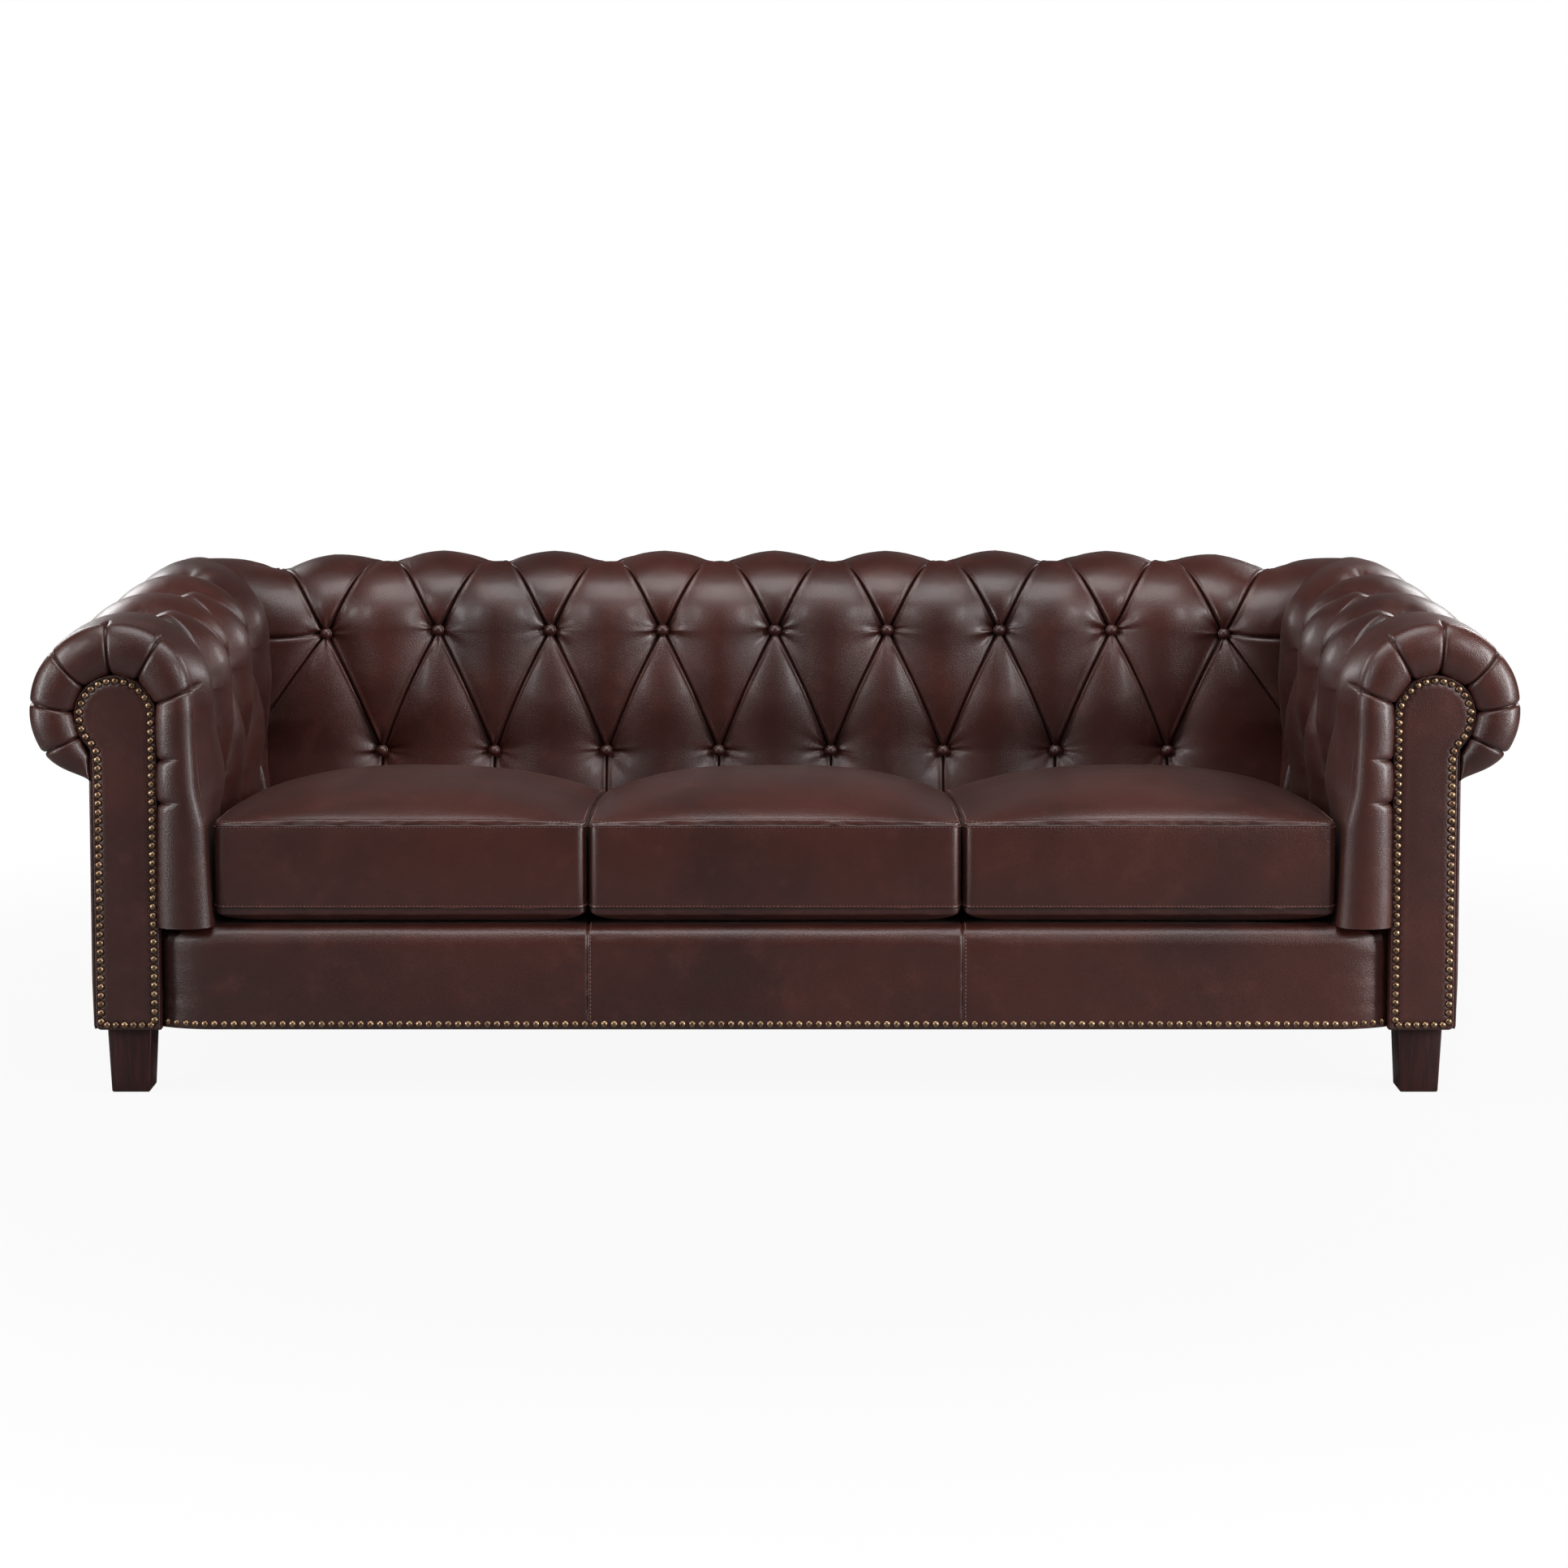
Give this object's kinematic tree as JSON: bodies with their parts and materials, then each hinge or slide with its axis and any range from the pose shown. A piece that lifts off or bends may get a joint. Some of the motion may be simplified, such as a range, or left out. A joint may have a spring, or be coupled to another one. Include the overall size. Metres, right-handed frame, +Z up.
{
  "type": "leather sofa",
  "caption": "Low rolled-arm leather sofa with deep-buttoned back and arms, loose seat cushions, nail-trimmed arm fronts and tapered square feet.",
  "frame": {"origin": "on the floor, under the middle of the sofa's overall box", "axes": "+X to the right seen from the front, -Y the way the seat faces, +Z up"},
  "size_m": [2.2858, 0.9632, 0.7788],
  "materials": {
    "hide": "satin",
    "deck_cloth": "matte",
    "foam": "matte",
    "antique_brass": "satin",
    "steel": "satin",
    "stained_wood": "satin",
    "frame_timber": "matte"
  },
  "bodies": {
    "sofa_frame": {"left_arm_cover": "hide", "left_arm_facing": "hide", "left_arm_buttons": "hide", "left_outside_arm_panel": "hide", "right_arm_cover": "hide", "right_arm_facing": "hide", "right_arm_buttons": "hide", "right_outside_arm_panel": "hide", "back_cover": "hide", "back_buttons": "hide", "outside_back_panel": "hide", "rail_cover_left": "hide", "rail_cover_middle": "hide", "rail_cover_right": "hide", "deck_cover": "deck_cloth", "bottom_dust_cover": "deck_cloth", "left_arm_foam": "foam", "right_arm_foam": "foam", "back_foam": "foam", "front_rail_padding": "foam", "deck_pad": "foam", "left_arm_nails": "antique_brass", "right_arm_nails": "antique_brass", "rail_nails": "antique_brass", "seat_springs": "steel", "spring_clips": "steel", "foot_bolts": "steel", "foot_plates": "steel", "front_left_foot": "stained_wood", "front_right_foot": "stained_wood", "back_left_foot": "stained_wood", "back_right_foot": "stained_wood", "front_rail": "frame_timber", "back_rail": "frame_timber", "left_side_rail": "frame_timber", "right_side_rail": "frame_timber", "cross_rails": "frame_timber", "corner_blocks": "frame_timber", "left_back_post": "frame_timber", "right_back_post": "frame_timber", "left_arm_top_rail": "frame_timber", "right_arm_top_rail": "frame_timber", "left_arm_scroll_board": "frame_timber", "right_arm_scroll_board": "frame_timber", "arm_tuck_rails": "frame_timber", "arm_uprights": "frame_timber", "back_uprights": "frame_timber", "back_top_rail": "frame_timber", "back_tuck_rail": "frame_timber"},
    "left_cushion": {"left_cushion_cover": "hide", "left_cushion_foam": "foam", "left_cushion_zip": "antique_brass"},
    "middle_cushion": {"middle_cushion_cover": "hide", "middle_cushion_foam": "foam", "middle_cushion_zip": "antique_brass"},
    "right_cushion": {"right_cushion_cover": "hide", "right_cushion_foam": "foam", "right_cushion_zip": "antique_brass"}
  },
  "joints": [
    {"name": "left_cushion_lift", "type": "slide", "parent": "sofa_frame", "child": "left_cushion", "axis": [0, 0, 1], "range_m": [0, 0.55]},
    {"name": "middle_cushion_lift", "type": "slide", "parent": "sofa_frame", "child": "middle_cushion", "axis": [0, 0, 1], "range_m": [0, 0.55]},
    {"name": "right_cushion_lift", "type": "slide", "parent": "sofa_frame", "child": "right_cushion", "axis": [0, 0, 1], "range_m": [0, 0.55]}
  ]
}
